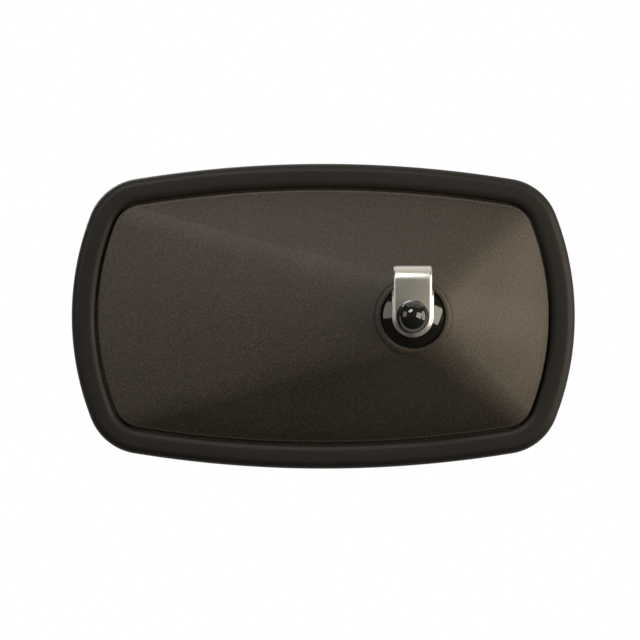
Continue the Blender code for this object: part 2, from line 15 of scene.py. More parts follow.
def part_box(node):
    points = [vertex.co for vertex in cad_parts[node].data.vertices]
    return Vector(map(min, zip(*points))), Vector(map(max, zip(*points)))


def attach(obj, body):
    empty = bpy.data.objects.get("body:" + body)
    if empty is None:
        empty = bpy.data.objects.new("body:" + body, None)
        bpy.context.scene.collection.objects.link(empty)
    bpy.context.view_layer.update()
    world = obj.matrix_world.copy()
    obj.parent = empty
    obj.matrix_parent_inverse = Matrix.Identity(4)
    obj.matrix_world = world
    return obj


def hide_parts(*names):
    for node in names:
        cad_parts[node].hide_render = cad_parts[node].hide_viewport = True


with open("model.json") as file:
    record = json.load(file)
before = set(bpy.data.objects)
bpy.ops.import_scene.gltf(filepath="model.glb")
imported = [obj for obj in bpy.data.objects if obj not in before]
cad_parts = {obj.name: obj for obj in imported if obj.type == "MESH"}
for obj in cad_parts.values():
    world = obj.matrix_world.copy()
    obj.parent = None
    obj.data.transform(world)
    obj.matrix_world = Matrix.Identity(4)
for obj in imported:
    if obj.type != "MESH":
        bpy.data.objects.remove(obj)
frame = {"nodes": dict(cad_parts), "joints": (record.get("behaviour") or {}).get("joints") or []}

bl_info = {
    "name": "Convex Security Mirror",
    "version": (1, 0, 0),
    "blender": (4, 5, 0),
    "location": "View3D > Sidebar > Mirror",
    "description": "Rim, housing, pane, ball joint and strap clamp of a convex mirror",
    "category": "Object",
}

MM = 0.001
FINE = 48                # sides of the small turned pieces
VERY_FINE = 96           # sides of the larger ones
SMOOTH_ANGLE = 35        # degrees; sharper edges stay sharp
SAME_PLACE = 1e-6        # metres
OUTLINE_STEPS = 28       # along each arc of the outline
PANEL_STEPS, INNER_STEPS = 24, 16   # rows from the panel's edge to the boss, outside and inside
PANE_RINGS = 48
DOME_SIDES = 128
THREAD_DEPTH = 0.54      # share of the pitch
THREAD_SMOOTH = 50       # degrees
SCREW_SIDES = 36
LOOP_STEPS, BEND_STEPS = 72, 16     # round the strap's loop and its return bend
WIDEN_FROM = 0.8        # share of the loop where the bar starts to widen to its pad
ROUND_LIMIT = 0.95       # share of the bar's half width that its rolled edge may take
WASHER = 1.6 * MM        # between the ball's neck and the strap
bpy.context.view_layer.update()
RIM_LOW, RIM_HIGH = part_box("rim_frame")
HOUSING_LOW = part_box("rear_housing")[0]
PANE_LOW, PANE_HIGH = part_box("mirror_pane")
STRAP_LOW, STRAP_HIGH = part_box("clamp_strap")
DOME_LOW, DOME_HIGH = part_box("swivel_dome")
CAP_LOW, CAP_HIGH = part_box("nut_cap")

BALL = Vector(frame["joints"][0]["pos_m"])
TO_WORLD = Matrix.Translation(BALL) @ Matrix.Rotation(math.radians(90), 4, "X")
MIDDLE = (RIM_LOW + RIM_HIGH) / 2
BALL_OFFSET = BALL.x - MIDDLE.x


def height_of(y):
    """Height above the ball's centre of a place on the Y axis."""
    return BALL.y - y


RIM_BACK = height_of(RIM_LOW.y)
SOCKET_TOP = height_of(HOUSING_LOW.y)
NECK_TOP = height_of(DOME_LOW.y)
CAP_BASE = height_of(CAP_HIGH.y)
CAP_TOP = height_of(CAP_LOW.y)
STRAP_FACE = height_of(STRAP_LOW.y)
LOOP_R = (STRAP_HIGH.y - STRAP_LOW.y) / 2


def length(name, text, millimetres):
    """A length property, kept in metres."""
    return FloatProperty(name=name, description=text, default=millimetres * MM, min=0,
                         unit="LENGTH", subtype="DISTANCE", precision=4)


def colour(name, text, default):
    return FloatVectorProperty(name=name, description=text, default=default, size=3,
                               min=0, max=1, subtype="COLOR")


class MirrorSizes(bpy.types.PropertyGroup):
    """Sizes of the mirror's head."""
    top_arc: length("Long edge radius", "Radius of the two long edges", 769)
    side_arc: length("Short edge radius", "Radius of the two short edges", 184)
    corner: length("Corner radius", "Radius of the outline's corners", 36.7)
    rim_width: length("Rim width", "Rim seen from the back", 15.7)
    rim_round: length("Rim rounding", "Rounding of the rim's outer edges", 5.5)
    rim_lip: length("Front lip", "Thickness of the lip in front of the pane", 3.5)
    lip_reach: length("Lip reach", "How far the front lip covers the pane", 12.5)
    channel_floor: length("Channel floor", "Rim wall outside the held edges", 3.2)
    channel_back: length("Channel back", "Rim wall behind the held edges", 6)
    groove: length("Groove", "Gap between rim and panel", 1.3)
    flange: length("Flange", "Thickness of the housing's flange", 2.2)
    wall: length("Wall", "Wall of the housing", 2.5)
    panel_drop: length("Panel drop", "Panel's edge below the rim's back", 0.8)
    panel_round: length("Panel rounding", "Rounding of the panel's edge", 1.5)
    socket_step: length("Socket step", "Socket's boss above the panel", 3.3)
    socket_r: length("Socket radius", "Outside of the socket's boss", 25.6)
    socket_round: length("Socket rounding", "Depth of the boss's rolled edge", 2.9)
    socket_reach: length("Socket reach", "Width of the boss's rolled edge", 3.5)
    lip_r: length("Lip radius", "Opening of the socket", 21)
    pane: length("Pane", "Thickness of the pane", 3)
    bulge_power: FloatProperty(name="Bulge power", description="Lower is flatter in the middle",
                               default=0.65, min=0.5, max=1)
    margin: length("Pane margin", "Flat part of the pane inside the lip", 1)


class JointSizes(bpy.types.PropertyGroup):
    """Sizes of the ball joint and the strap clamp."""
    dome_r: length("Dome radius", "Radius of the ball's dome", 35)
    dome_wall: length("Dome wall", "Wall of the dome", 3.5)
    clearance: length("Clearance", "Gap between sliding faces", 0.4)
    gap: length("Gap", "Gap between faces that touch", 0.3)
    neck_r: length("Neck radius", "Radius of the ball's neck", 8)
    hole_r: length("Bolt hole", "Radius of the holes for the bolt", 4.5)
    bolt_r: length("Bolt radius", "Radius of the bolt's shank", 3.9)
    bolt_pitch: length("Thread pitch", "Pitch of the bolt's thread", 1.25)
    bolt_head: length("Bolt head", "Height of the bolt's head", 4.4)
    screw_r: length("Screw radius", "Radius of a retainer screw", 1.6)
    screw_head: length("Screw head", "Height of a retainer screw's head", 2.4)
    screw_socket: length("Screw socket", "Hexagon socket across flats", 2.5)
    screw_pitch: length("Screw pitch", "Pitch of a retainer screw", 0.7)
    spring_bore: length("Spring bore", "Bore radius of a disc spring", 10.3)
    spring_dish: length("Spring dish", "Height of a disc spring's cone", 1.2)
    cap_wall: length("Cap wall", "Wall of the cap", 1.5)
    strap_width: length("Strap width", "Width of the folded bar", 25.2)
    strap: length("Strap thickness", "Thickness of the folded bar", 3)
    strap_round: length("Strap edge", "Width of the bar's rolled edges", 1.8)
    pad_r: length("Pad radius", "Round end against the ball", 13.7)
    return_bend: length("Return bend", "Inside radius behind the loop", 3)


class MirrorFinishes(bpy.types.PropertyGroup):
    """Colours and grain of the mirror's materials."""
    panel: colour("Panel", "Moulded black of the housing", (0.0165, 0.013, 0.0098))
    rim: colour("Rim", "Satin black of the rim", (0.0105, 0.009, 0.007))
    gloss: colour("Gloss black", "Dome and cap", (0.010, 0.0095, 0.008))
    steel: colour("Steel", "Satin steel of the strap", (0.60, 0.58, 0.53))
    zinc: colour("Zinc", "Plated fasteners", (0.52, 0.53, 0.54))
    nylon: colour("Nylon", "Cup and friction ring", (0.62, 0.59, 0.50))
    foam: colour("Foam", "Strip behind the pane", (0.018, 0.018, 0.019))
    mirror: colour("Mirror", "Silvering of the pane", (0.90, 0.915, 0.92))
    grain: length("Grain", "Size of the panel's grain", 1.1)


class StageSettings(bpy.types.PropertyGroup):
    """Camera and floor."""
    frame_width: length("View width", "Width that the camera takes in", 419.84)
    lens: FloatProperty(name="Lens", description="Focal length in mm", default=1000, min=50)
    floor_reach: length("Floor reach", "Radius of the round floor", 36000)
    floor_drop: length("Floor drop", "Floor below the mirror's middle", 900)
    camera_turn: FloatProperty(name="Camera turn", description="Degrees to the right",
                               default=0.6, min=-5, max=5)


def sizes():
    return bpy.context.scene.mirror_sizes


def joint():
    return bpy.context.scene.mirror_joint


# ---------------------------------------------------------------- shapes

def corner_centre(s):
    """Centre of the upper right corner arc, tangent inside its two neighbours."""
    top = Vector((0, (RIM_HIGH.z - RIM_LOW.z) / 2 - s.top_arc))
    side = Vector(((RIM_HIGH.x - RIM_LOW.x) / 2 - s.side_arc, 0))
    top_reach, side_reach = s.top_arc - s.corner, s.side_arc - s.corner
    apart = (side - top).length
    along = (top_reach ** 2 - side_reach ** 2 + apart ** 2) / (2 * apart)
    across = math.sqrt(top_reach ** 2 - along ** 2)
    direction = (side - top) / apart
    normal = Vector((direction.y, -direction.x))
    if normal.x + normal.y < 0:
        normal = -normal
    return top, side, top + direction * along + normal * across


def outline(s, steps=OUTLINE_STEPS):
    """(centre, radius, facing angle) of points once round the outline."""
    top, side, corner = corner_centre(s)
    low = math.atan2(corner.y - side.y, corner.x - side.x)
    high = math.atan2(corner.y - top.y, corner.x - top.x)
    quarter = [(side, s.side_arc, low * i / steps) for i in range(steps)]
    quarter += [(corner, s.corner, low + (high - low) * i / steps) for i in range(steps)]
    half = math.pi / 2
    quarter += [(top, s.top_arc, high + (half - high) * i / steps) for i in range(steps + 1)]
    right = quarter + [(Vector((-c.x, c.y)), r, math.pi - a) for c, r, a in quarter[-2::-1]]
    return right + [(Vector((c.x, -c.y)), r, 2 * math.pi - a) for c, r, a in right[-2:0:-1]]


def ring(points, height, inset=0.0, blend=0.0, radius=0.0):
    """The outline set in by inset, blended towards a circle about the ball's axis."""
    row = []
    for centre, arc, angle in points:
        facing = Vector((math.cos(angle), math.sin(angle)))
        edge = centre + facing * (arc - inset) - Vector((BALL_OFFSET, 0))
        flat = edge * (1 - blend) + facing * radius * blend
        row.append((flat.x, flat.y, height))
    return row


def polar(height, radius_of, steps=FINE):
    """A closed row about the h axis whose radius depends on the angle."""
    row = []
    for i in range(steps):
        angle = 2 * math.pi * i / steps
        r = radius_of(angle)
        row.append((r * math.cos(angle), r * math.sin(angle), height))
    return row


def circle(radius, height, steps=FINE):
    return polar(height, lambda angle: radius, steps)


def arc(centre, radius, start, end, steps):
    """(x, y) points from start to end, both in degrees."""
    found = []
    for i in range(steps + 1):
        angle = math.radians(start + (end - start) * i / steps)
        found.append((centre[0] + radius * math.cos(angle), centre[1] + radius * math.sin(angle)))
    return found


def on_sphere(radius, start, end, steps):
    """(r, h) points; angles in degrees from the h axis."""
    return [(r, h) for h, r in arc((0, 0), radius, start, end, steps)]


def skin(rows, loop=False, close_ends=True):
    """Quads between rows of points, facing outwards; a row of one point is a pole."""
    bm = bmesh.new()
    rows = [[bm.verts.new(p) for p in row] for row in rows]
    pairs = list(zip(rows, rows[1:]))
    if loop:
        pairs.append((rows[-1], rows[0]))
    for a, b in pairs:
        count = max(len(a), len(b))
        for i in range(count):
            j = (i + 1) % count
            corners = [a[i % len(a)], a[j % len(a)], b[j % len(b)], b[i % len(b)]]
            bm.faces.new(list(dict.fromkeys(corners)))
    if close_ends and not loop:
        for row in (rows[0], rows[-1]):
            if len(row) > 2:
                bm.faces.new(row)
    bmesh.ops.recalc_face_normals(bm, faces=bm.faces)
    return bm


def turned(profile, steps=VERY_FINE, closed=True):
    """A profile of (r, h) points turned about the h axis."""
    rows = [circle(r, h, steps) if r > 0 else [(0, 0, h)] for r, h in profile]
    return skin(rows, loop=closed, close_ends=not closed)


def new_mesh(name, bm):
    mesh = bpy.data.meshes.new(name)
    bm.to_mesh(mesh)
    bm.free()
    return mesh


def loose(name, data):
    """A new object in the scene, of a mesh, a light or a camera."""
    made = bpy.data.objects.new(name, data)
    bpy.context.scene.collection.objects.link(made)
    return made


def finish_piece(name, mesh, body, nodes, slot, smooth=SMOOTH_ANGLE):
    """A closed mesh in its place, riding on its body and standing for its CAD nodes."""
    if isinstance(mesh, bmesh.types.BMesh):
        mesh = new_mesh(name, mesh)
    if not mesh.polygons:
        raise RuntimeError(name + " came out empty")
    mesh.transform(TO_WORLD)
    mesh.materials.clear()
    mesh.materials.append(finish(slot))
    mesh.shade_smooth()
    mesh.set_sharp_from_angle(angle=math.radians(smooth))
    piece = loose(name, mesh)
    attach(piece, body)
    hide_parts(*nodes)


# ---------------------------------------------------------------- materials

def new_group(name, inputs):
    """A shader node group from its inputs' defaults, with its inputs and object coordinates."""
    group = bpy.data.node_groups.new(name, "ShaderNodeTree")
    kinds = {4: "NodeSocketColor", 3: "NodeSocketVector"}
    for label, default in inputs.items():
        kind = kinds[len(default)] if isinstance(default, tuple) else "NodeSocketFloat"
        group.interface.new_socket(label, in_out="INPUT", socket_type=kind).default_value = default
    into = node(group, "NodeGroupInput")
    return group, into, node(group, "ShaderNodeTexCoord")["Object"]


def put_out(group, **values):
    """Links the group's outputs, Colour, Roughness and Height, and returns the group."""
    for label in values:
        kind = "NodeSocketColor" if label == "Colour" else "NodeSocketFloat"
        group.interface.new_socket(label, in_out="OUTPUT", socket_type=kind)
    out = group.nodes.new("NodeGroupOutput")
    for label, value in values.items():
        group.links.new(value, out.inputs[label])
    return group


def node(tree, kind, settings=None, **inputs):
    """A new node's outputs, after its settings; an input is a value or a socket to link."""
    made = tree.nodes.new(kind)
    for key, value in (settings or {}).items():
        setattr(made, key, value)
    for key, value in inputs.items():
        label = key.replace("_", " ")
        socket = made.inputs[int(key[1:])] if key[1:].isdigit() else made.inputs[label]
        if isinstance(value, bpy.types.NodeSocket):
            tree.links.new(value, socket)
        else:
            socket.default_value = value
    return made.outputs


def remap(tree, value, low, high, to_low=0.0, to_high=1.0):
    return node(tree, "ShaderNodeMapRange", {"clamp": True}, Value=value, From_Min=low,
                From_Max=high, To_Min=to_low, To_Max=to_high)["Result"]


def maths(tree, operation, a, b=0.0):
    return node(tree, "ShaderNodeMath", {"operation": operation}, _0=a, _1=b)[0]


def times(tree, a, b):
    return maths(tree, "MULTIPLY", a, b)


def plus(tree, a, b):
    return maths(tree, "ADD", a, b)


def noise(tree, place, scale, detail, **more):
    return node(tree, "ShaderNodeTexNoise", Vector=place, Scale=scale, Detail=detail,
                **more)["Fac"]


def mix_colours(tree, share, a, b, blend="MIX"):
    return node(tree, "ShaderNodeMix", {"data_type": "RGBA", "blend_type": blend},
                _0=share, _6=a, _7=b)[2]


def toned(group, into, swing, drift):
    """The group's colour, lighter and darker by a swing and a drift about nothing."""
    gain = plus(group, plus(group, swing, 1.0), drift)
    grey = node(group, "ShaderNodeCombineColor", Red=gain, Green=gain, Blue=gain)[0]
    return mix_colours(group, 1.0, into["Colour"], grey, "MULTIPLY")


def grain_group(name):
    """Moulded speckle: fine pits and bumps of two sizes over slow changes of tone."""
    group, into, place = new_group(name, {"Colour": (0.05, 0.05, 0.05, 1), "Grain Size": 0.001,
                                          "Contrast": 0.2, "Roughness": 0.6})
    scale = maths(group, "DIVIDE", 1.0, into["Grain Size"])
    fine = noise(group, place, scale, 3.0, Roughness=0.65)
    coarse = node(group, "ShaderNodeTexVoronoi", Vector=place,
                  Scale=times(group, scale, 0.8))["Distance"]
    slow = noise(group, place, 18.0, 4.0)
    height = plus(group, times(group, fine, 0.75), times(group, coarse, 0.25))
    tone = remap(group, height, 0.35, 0.65)
    swing = times(group, maths(group, "SUBTRACT", tone, 0.5), into["Contrast"])
    drift = remap(group, slow, 0.3, 0.7, -0.035, 0.035)
    rough = plus(group, into["Roughness"], times(group, drift, 1.2))
    return put_out(group, Colour=toned(group, into, swing, drift), Roughness=rough, Height=height)


def wear_group(name):
    """Handling marks: faint smears, hairline scratches and a little dust."""
    group, into, place = new_group(name, {
        "Colour": (0.05, 0.05, 0.05, 1), "Dust Colour": (0.35, 0.32, 0.28, 1), "Dust": 0.02,
        "Roughness": 0.3, "Smears": 0.05, "Scratches": 0.2})
    smear = noise(group, place, 35.0, 5.0, Distortion=0.6)
    spots = noise(group, place, 900.0, 2.0)
    stretched = node(group, "ShaderNodeMapping", Vector=place, Rotation=(0.4, 0.9, 0.3),
                     Scale=(30.0, 900.0, 700.0))["Vector"]
    scratch = remap(group, noise(group, stretched, 1.0, 1.0), 0.68, 0.74)
    dust = times(group, remap(group, spots, 0.55, 0.75), into["Dust"])
    dusty = mix_colours(group, dust, into["Colour"], into["Dust Colour"])
    change = times(group, remap(group, smear, 0.3, 0.7, -1.0, 1.0), into["Smears"])
    rough = plus(group, plus(group, into["Roughness"], change), times(group, dust, 0.5))
    height = times(group, scratch, times(group, into["Scratches"], -1.0))
    return put_out(group, Colour=dusty, Roughness=rough, Height=height)


def brushed_group(name):
    """Fine lines drawn along one direction, with a soft change of tone."""
    group, into, place = new_group(name, {"Colour": (0.6, 0.6, 0.6, 1), "Stretch": (1.0, 1.0, 1.0),
                                          "Roughness": 0.3, "Swing": 0.08})
    drawn = node(group, "ShaderNodeVectorMath", {"operation": "MULTIPLY"}, _0=place,
                 _1=into["Stretch"])[0]
    lines = noise(group, drawn, 1.0, 4.0, Roughness=0.7)
    swing = times(group, maths(group, "SUBTRACT", lines, 0.5), into["Swing"])
    drift = remap(group, noise(group, place, 120.0, 3.0), 0.3, 0.7, -0.01, 0.01)
    rough = plus(group, into["Roughness"], plus(group, times(group, swing, 0.8), drift))
    return put_out(group, Colour=toned(group, into, swing, drift), Roughness=rough, Height=lines)


EFFECTS = {"moulded_grain": grain_group, "handling_wear": wear_group, "drawn_lines": brushed_group}


def finish_table(f):
    """Each slot's effect, its values there, its bump in strength and mm, the shader's own values."""
    metal = {"Metallic": 1.0}
    return {
        "textured_black_plastic": ("moulded_grain", {
            "Colour": f.panel, "Grain Size": f.grain, "Contrast": 1.7, "Roughness": 0.6}, 0.6, 0.3,
            {"Specular Tint": (1.0, 0.9, 0.78, 1), "Specular IOR Level": 0.6}),
        "satin_black_rim": ("handling_wear", {
            "Colour": f.rim, "Dust": 0.015, "Roughness": 0.5, "Smears": 0.03, "Scratches": 0.1},
            0.1, 0.1, {"Specular IOR Level": 0.2}),
        "gloss_black_plastic": ("handling_wear", {
            "Colour": f.gloss, "Dust": 0.006, "Roughness": 0.07, "Smears": 0.015,
            "Scratches": 0.1}, 0.04, 0.05, {}),
        "brushed_steel": ("drawn_lines", {
            "Colour": f.steel, "Stretch": (2500.0, 2500.0, 90.0), "Roughness": 0.35,
            "Swing": 0.04}, 0.015, 0.1, metal),
        "zinc_steel": ("handling_wear", {
            "Colour": f.zinc, "Dust": 0.02, "Roughness": 0.34, "Smears": 0.08,
            "Scratches": 0.3}, 0.1, 0.1, metal),
        "nylon": ("handling_wear", {
            "Colour": f.nylon, "Dust": 0.02, "Roughness": 0.42, "Smears": 0.05,
            "Scratches": 0.3}, 0.1, 0.1, {"Subsurface Weight": 0.08}),
        "foam_rubber": ("moulded_grain", {
            "Colour": f.foam, "Grain Size": 0.6 * MM, "Contrast": 0.7, "Roughness": 0.9},
            0.9, 0.4, {}),
        "mirror_acrylic": ("handling_wear", {
            "Colour": f.mirror, "Dust": 0.004, "Roughness": 0.018, "Smears": 0.008,
            "Scratches": 0.05}, 0.01, 0.05, {**metal, "Coat Weight": 0.25, "Coat Roughness": 0.03}),
    }


def finish(slot):
    """A slot's Principled material, made once and fed by its shared effect."""
    found = bpy.data.materials.get(slot + "_finish")
    if found:
        return found
    effect, values, bump, bump_mm, plain = finish_table(bpy.context.scene.mirror_finishes)[slot]
    made = bpy.data.materials.new(slot + "_finish")
    made.use_nodes = True
    tree = made.node_tree
    shader = tree.nodes["Principled BSDF"]
    fed = tree.nodes.new("ShaderNodeGroup")
    fed.node_tree = bpy.data.node_groups.get(effect) or EFFECTS[effect](effect)
    for label, value in values.items():
        fed.inputs[label].default_value = (*value, 1) if label == "Colour" else value
    tree.links.new(fed.outputs["Colour"], shader.inputs["Base Color"])
    tree.links.new(fed.outputs["Roughness"], shader.inputs["Roughness"])
    relief = node(tree, "ShaderNodeBump", Strength=bump, Distance=bump_mm * MM,
                  Height=fed.outputs["Height"])
    tree.links.new(relief["Normal"], shader.inputs["Normal"])
    for label, value in plain.items():
        shader.inputs[label].default_value = value
    return made


# ---------------------------------------------------------------- the mirror's head

def rim_section(s):
    """(inset, depth) points round the rim's section, depth from its back towards the face."""
    depth = RIM_HIGH.y - RIM_LOW.y
    r, edge, lip_round = s.rim_round, s.rim_width, 1.2 * MM
    shoulder_reach, shoulder, nick, channel_nick = 5 * MM, 3.2 * MM, 0.2 * MM, 0.3 * MM
    section = arc((r, depth - r), r, 180, 90, 10)
    section += arc((s.lip_reach - lip_round, depth - lip_round), lip_round, 90, 0, 6)
    section += [(s.lip_reach, depth - s.rim_lip + nick), (s.lip_reach - nick, depth - s.rim_lip)]
    section += [(s.channel_floor, depth - s.rim_lip), (s.channel_floor, s.channel_back)]
    section += [(edge - channel_nick, s.channel_back), (edge, s.channel_back - channel_nick)]
    for x, y in arc((0, 0), 1.0, 0, 90, 10):
        section.append((edge - shoulder_reach * (1 - x), shoulder * (1 - y)))
    return section + arc((r, r), r, -90, -180, 10)


def path_object(name, points):
    """A closed loop of edges, as the path or section that a node tree sweeps."""
    mesh = bpy.data.meshes.new(name)
    mesh.from_pydata(points, [(i, (i + 1) % len(points)) for i in range(len(points))], [])
    return loose(name, mesh)


def new_tree(name, inputs):
    """A node tree that makes geometry, with its named inputs, and its input sockets inside."""
    tree = bpy.data.node_groups.new(name, "GeometryNodeTree")
    for label, kind in inputs.items():
        tree.interface.new_socket(label, in_out="INPUT", socket_type="NodeSocket" + kind)
    tree.interface.new_socket("Geometry", in_out="OUTPUT", socket_type="NodeSocketGeometry")
    return tree, node(tree, "NodeGroupInput")


def finish_tree(tree, shape, into):
    real = node(tree, "GeometryNodeRealizeInstances", Geometry=shape)
    done = node(tree, "GeometryNodeSetMaterial", Geometry=real[0], Material=into["Finish"])
    tree.links.new(done[0], tree.nodes.new("NodeGroupOutput").inputs[0])
    return tree


def lifted(tree, shape, into):
    """A shape moved up the h axis by the tree's Height."""
    lift = node(tree, "ShaderNodeCombineXYZ", Z=into["Height"])
    return node(tree, "GeometryNodeTransform", Geometry=shape, Translation=lift[0])[0]


def sweep_tree():
    """Sweeps a section round a closed path that lies flat."""
    tree, into = new_tree("sweep_section", {"Path": "Geometry", "Section": "Object",
                                            "Height": "Float", "Finish": "Material"})
    path = node(tree, "GeometryNodeMeshToCurve", Mesh=into["Path"])
    upright = node(tree, "GeometryNodeSetCurveNormal", {"mode": "Z_UP"}, Curve=path[0])
    info = node(tree, "GeometryNodeObjectInfo", Object=into["Section"])
    section = node(tree, "GeometryNodeMeshToCurve", Mesh=info["Geometry"])
    swept = node(tree, "GeometryNodeCurveToMesh", Curve=upright[0],
                 Profile_Curve=section[0])
    return finish_tree(tree, lifted(tree, swept[0], into), into)


def repeat_tree(name, inputs, make_points):
    """Repeats a piece on points made inside the tree; Flip turns every second one over."""
    tree, into = new_tree(name, {"Piece": "Object", **inputs, "Height": "Float", "Flip": "Float",
                                 "Finish": "Material"})
    info = node(tree, "GeometryNodeObjectInfo", Object=into["Piece"])
    order = node(tree, "GeometryNodeInputIndex")[0]
    facing = node(tree, "ShaderNodeCombineXYZ",
                  X=times(tree, maths(tree, "MODULO", order, 2.0), into["Flip"]))
    placed = node(tree, "GeometryNodeInstanceOnPoints", Points=make_points(tree, into),
                  Instance=info["Geometry"], Rotation=facing[0])
    return finish_tree(tree, placed[0], into)


def square_points(tree, into):
    """Four points at the corners of a square."""
    grid = node(tree, "GeometryNodeMeshGrid", Size_X=into["Spacing"], Size_Y=into["Spacing"],
                Vertices_X=2, Vertices_Y=2)
    return lifted(tree, grid[0], into)


def stacked_points(tree, into):
    """Points up the h axis from a height, one for each piece of a stack."""
    pitch = node(tree, "ShaderNodeCombineXYZ", Z=into["Pitch"])
    line = node(tree, "GeometryNodeMeshLine", Count=into["Count"], Offset=pitch[0])
    return lifted(tree, line[0], into)


def evaluated(base, modifier, guides):
    """The plain mesh that an object's modifier makes; it and the guides are then removed."""
    bpy.context.view_layer.update()
    seen = base.evaluated_get(bpy.context.evaluated_depsgraph_get())
    mesh = bpy.data.meshes.new_from_object(seen)
    base.modifiers.remove(modifier)
    for guide in (base, *guides):
        bpy.data.objects.remove(guide)
    return mesh


def grown(base, tree, values, guide):
    """The plain mesh that a node tree makes on an object, with its inputs set first."""
    modifier = base.modifiers.new("shape", "NODES")
    modifier.node_group = tree
    for item in tree.interface.items_tree:
        if item.item_type == "SOCKET" and item.in_out == "INPUT" and item.name in values:
            modifier[item.identifier] = values[item.name]
    return evaluated(base, modifier, [guide])


class MIRROR_OT_rim(bpy.types.Operator):
    """Sweep the rim's section round the outline"""
    bl_idname = "mirror_part.rim"
    bl_label = "Rim"

    def execute(self, context):
        s = sizes()
        path = path_object("rim_path", ring(outline(s), 0.0))
        section = path_object("rim_section", [(-inset, depth, 0) for inset, depth in rim_section(s)])
        mesh = grown(path, sweep_tree(), {"Section": section, "Height": RIM_BACK,
                                          "Finish": finish("satin_black_rim")}, section)
        bm = bmesh.new()
        bm.from_mesh(mesh)
        bmesh.ops.remove_doubles(bm, verts=bm.verts, dist=SAME_PLACE)
        bmesh.ops.recalc_face_normals(bm, faces=bm.faces)
        finish_piece("rim", bm, "mirror_head", ["rim_frame"], "satin_black_rim")
        return {"FINISHED"}


def panel_rows(points, s, drop, inset, radius, top, steps):
    """Rows from the panel's edge to the circle where the boss starts."""
    edge = RIM_BACK - s.panel_drop - drop
    rows = []
    for blend in (0, 0.006, 0.02, *(i / steps for i in range(1, steps)), 0.985, 1):
        rows.append(ring(points, edge + (top - edge) * blend, inset, blend, radius))
    return rows


class MIRROR_OT_housing(bpy.types.Operator):
    """Loft the housing from its flange to the lip of the socket"""
    bl_idname = "mirror_part.housing"
    bl_label = "Housing"

    def execute(self, context):
        s, j = sizes(), joint()
        points = outline(s)
        held = s.channel_floor + j.gap
        inset, r = s.rim_width + s.groove, s.panel_round
        edge = RIM_BACK - s.panel_drop
        back = RIM_BACK - s.channel_back - j.gap
        foot = SOCKET_TOP - s.socket_step
        pocket = j.dome_r + j.clearance
        corner, lip_round, pocket_reach, floor_share = 0.4 * MM, 0.5 * MM, 1.5 * MM, 1.25
        rows = [ring(points, back - s.flange, held), ring(points, back, held),
                ring(points, back, inset - corner), ring(points, back + corner, inset)]
        for x, y in arc((inset + r, edge - r), r, 180, 118, 6):
            rows.append(ring(points, y, x))
        cove = s.socket_step - s.socket_round
        rows += panel_rows(points, s, 0, inset + r, s.socket_r + cove, foot, PANEL_STEPS)
        turns = arc((s.socket_r + cove, foot + cove), cove, 262, 185, 6)
        turns += [(s.socket_r - s.socket_reach * (1 - x), SOCKET_TOP - s.socket_round * (1 - y))
                  for x, y in arc((0, 0), 1.0, 6, 86, 14)]
        turns += arc((s.lip_r + lip_round, SOCKET_TOP - lip_round), lip_round, 90, 180, 4)
        start = math.degrees(math.asin(s.lip_r / pocket))
        end = math.degrees(math.asin((s.socket_r + pocket_reach) / pocket))
        turns += on_sphere(pocket, start, end, 8)
        rows += [ring(points, y, blend=1, radius=x) for x, y in turns]
        rows += panel_rows(points, s, floor_share * s.wall, inset + r + s.wall, *turns[-1],
                           INNER_STEPS)[-2::-1]
        rows.append(ring(points, edge - r - s.wall, inset + s.wall))
        rows.append(ring(points, back - s.flange, inset + s.wall))
        finish_piece("housing", skin(rows, loop=True), "mirror_head", ["rear_housing"],
                     "textured_black_plastic")
        return {"FINISHED"}


def pane_rise(s, u, v):
    """Bulge at a point from the pane's middle, zero along the four arcs."""
    inset = s.lip_reach + s.margin
    half_length = (RIM_HIGH.x - RIM_LOW.x) / 2 - inset
    half_height = (RIM_HIGH.z - RIM_LOW.z) / 2 - inset
    share = 1.0
    for sign in (1, -1):
        top = math.hypot(u, v + sign * (s.top_arc - half_height - inset))
        side = math.hypot(u + sign * (s.side_arc - half_length - inset), v)
        share *= max(0.0, s.top_arc - inset - top) / half_height
        share *= max(0.0, s.side_arc - inset - side) / half_length
    return share ** s.bulge_power * (PANE_HIGH.y - PANE_LOW.y - s.pane)


class MIRROR_OT_pane(bpy.types.Operator):
    """Blow the pane: a flat margin and a smooth bulge"""
    bl_idname = "mirror_part.pane"
    bl_label = "Pane"

    def execute(self, context):
        s, j = sizes(), joint()
        points = outline(s)
        held, bevel = s.channel_floor + j.gap, 0.2 * MM
        back = height_of(PANE_LOW.y)
        margin = ring(points, 0, s.lip_reach + s.margin)
        faces = []
        for depth in (0.0, s.pane):
            rows = [ring(points, back - depth, held + bevel)]
            for i in range(PANE_RINGS, 0, -1):
                row = []
                for x, y, _ in margin:
                    u, v = (x + BALL_OFFSET) * i / PANE_RINGS, y * i / PANE_RINGS
                    row.append((u - BALL_OFFSET, v, back - depth - pane_rise(s, u, v)))
                rows.append(row)
            rows.append([(-BALL_OFFSET, 0, back - depth - pane_rise(s, 0, 0))])
            faces.append(rows)
        edge = [ring(points, back - bevel, held), ring(points, back - s.pane + bevel, held)]
        finish_piece("pane", skin(faces[0][::-1] + edge + faces[1]), "mirror_head",
                     ["mirror_pane"], "mirror_acrylic")
        return {"FINISHED"}


# ---------------------------------------------------------------- ball joint and clamp

